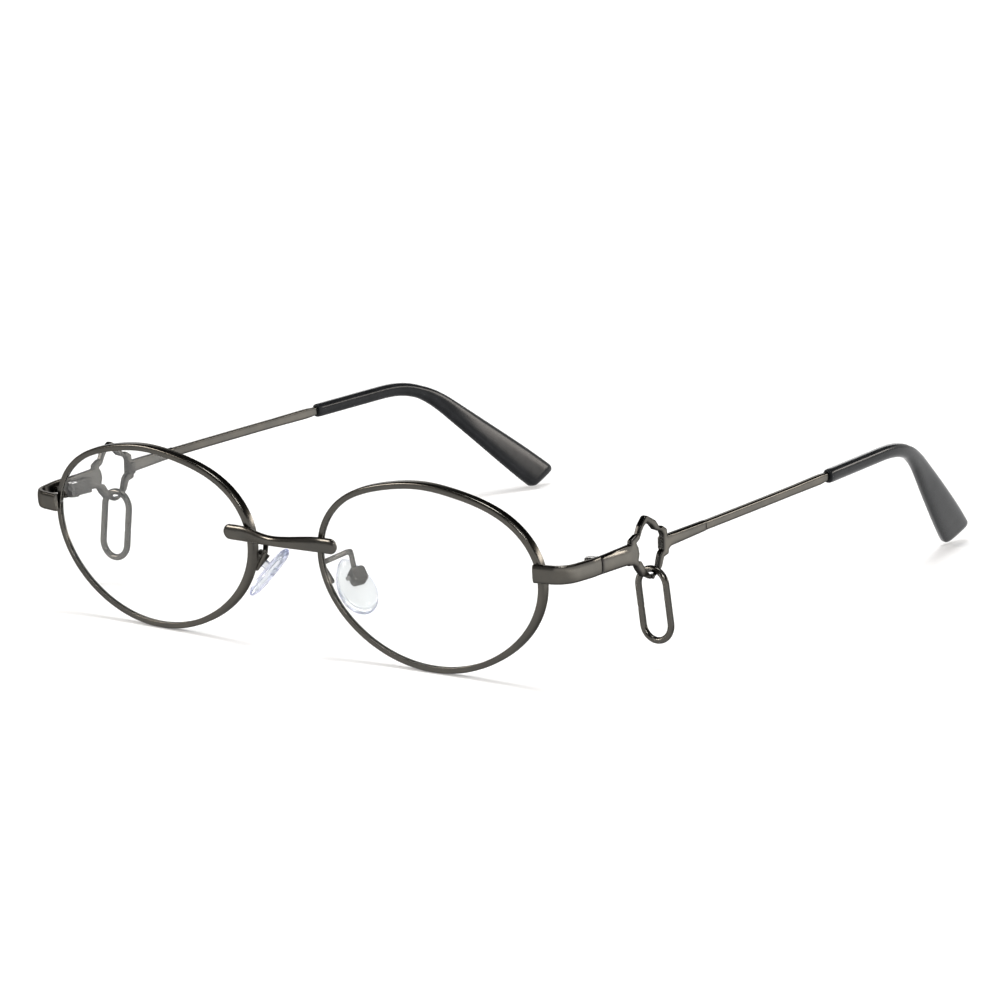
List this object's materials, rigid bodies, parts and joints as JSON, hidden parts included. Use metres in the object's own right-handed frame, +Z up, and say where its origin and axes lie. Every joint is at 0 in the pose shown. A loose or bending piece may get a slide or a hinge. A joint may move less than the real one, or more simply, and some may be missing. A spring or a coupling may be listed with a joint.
{
  "type": "spectacles",
  "caption": "Oval metal spectacle frame with clear lenses, folding temples, pierced ring castings and a wire link hanging from each temple.",
  "frame": {"origin": "middle of the overall length and width, on the surface that the rims and the temple tips rest on", "axes": "+X towards the wearer's left, +Y back along the open temples, +Z up"},
  "size_m": [0.1424, 0.1588, 0.0369],
  "materials": {
    "gunmetal": "satin gunmetal plating",
    "bright_steel": "bright screw heads",
    "clear_lens": "clear, uncoated look",
    "clear_silicone": "translucent moulded pad",
    "charcoal_acetate": "glossy charcoal sleeve"
  },
  "bodies": {
    "front": {"bridge": "gunmetal", "left_end_piece": "gunmetal", "left_hinge_front_leaf": "gunmetal", "left_hinge_screw": "bright_steel", "left_lens": "clear_lens", "left_pad_arm": "gunmetal", "left_pad_box": "gunmetal", "left_pad_screw": "bright_steel", "left_rim": "gunmetal", "left_rim_lock_lower": "gunmetal", "left_rim_lock_screw": "bright_steel", "left_rim_lock_upper": "gunmetal", "right_end_piece": "gunmetal", "right_hinge_front_leaf": "gunmetal", "right_hinge_screw": "bright_steel", "right_lens": "clear_lens", "right_pad_arm": "gunmetal", "right_pad_box": "gunmetal", "right_pad_screw": "bright_steel", "right_rim": "gunmetal", "right_rim_lock_lower": "gunmetal", "right_rim_lock_screw": "bright_steel", "right_rim_lock_upper": "gunmetal"},
    "left_temple": {"left_hinge_temple_leaf": "gunmetal", "left_temple_casting": "gunmetal", "left_temple_rod": "gunmetal", "left_temple_tip": "charcoal_acetate"},
    "right_temple": {"right_hinge_temple_leaf": "gunmetal", "right_temple_casting": "gunmetal", "right_temple_rod": "gunmetal", "right_temple_tip": "charcoal_acetate"},
    "left_link": {"left_charm_link": "gunmetal"},
    "right_link": {"right_charm_link": "gunmetal"},
    "left_pad": {"left_nose_pad": "clear_silicone"},
    "right_pad": {"right_nose_pad": "clear_silicone"}
  },
  "joints": [
    {"name": "left_temple_fold", "type": "hinge", "parent": "front", "child": "left_temple", "pos_m": [0.06396, -0.06358, 0.02274], "axis": [0, 0, 1], "range_deg": [0, 88]},
    {"name": "right_temple_fold", "type": "hinge", "parent": "front", "child": "right_temple", "pos_m": [-0.06396, -0.06358, 0.02274], "axis": [0, 0, -1], "range_deg": [0, 82]},
    {"name": "left_link_swing", "type": "hinge", "parent": "left_temple", "child": "left_link", "pos_m": [0.06676, -0.04818, 0.01622], "axis": [0, -1, 0], "range_deg": [-25, 30]},
    {"name": "right_link_swing", "type": "hinge", "parent": "right_temple", "child": "right_link", "pos_m": [-0.06676, -0.04818, 0.01622], "axis": [0, 1, 0], "range_deg": [-25, 30]},
    {"name": "left_pad_rock", "type": "hinge", "parent": "front", "child": "left_pad", "pos_m": [0.0121, -0.06827, 0.01484], "axis": [0.456, 0.8874, 0.0675], "range_deg": [-10, 10]},
    {"name": "right_pad_rock", "type": "hinge", "parent": "front", "child": "right_pad", "pos_m": [-0.0121, -0.06827, 0.01484], "axis": [-0.456, 0.8874, 0.0675], "range_deg": [-10, 10]}
  ]
}
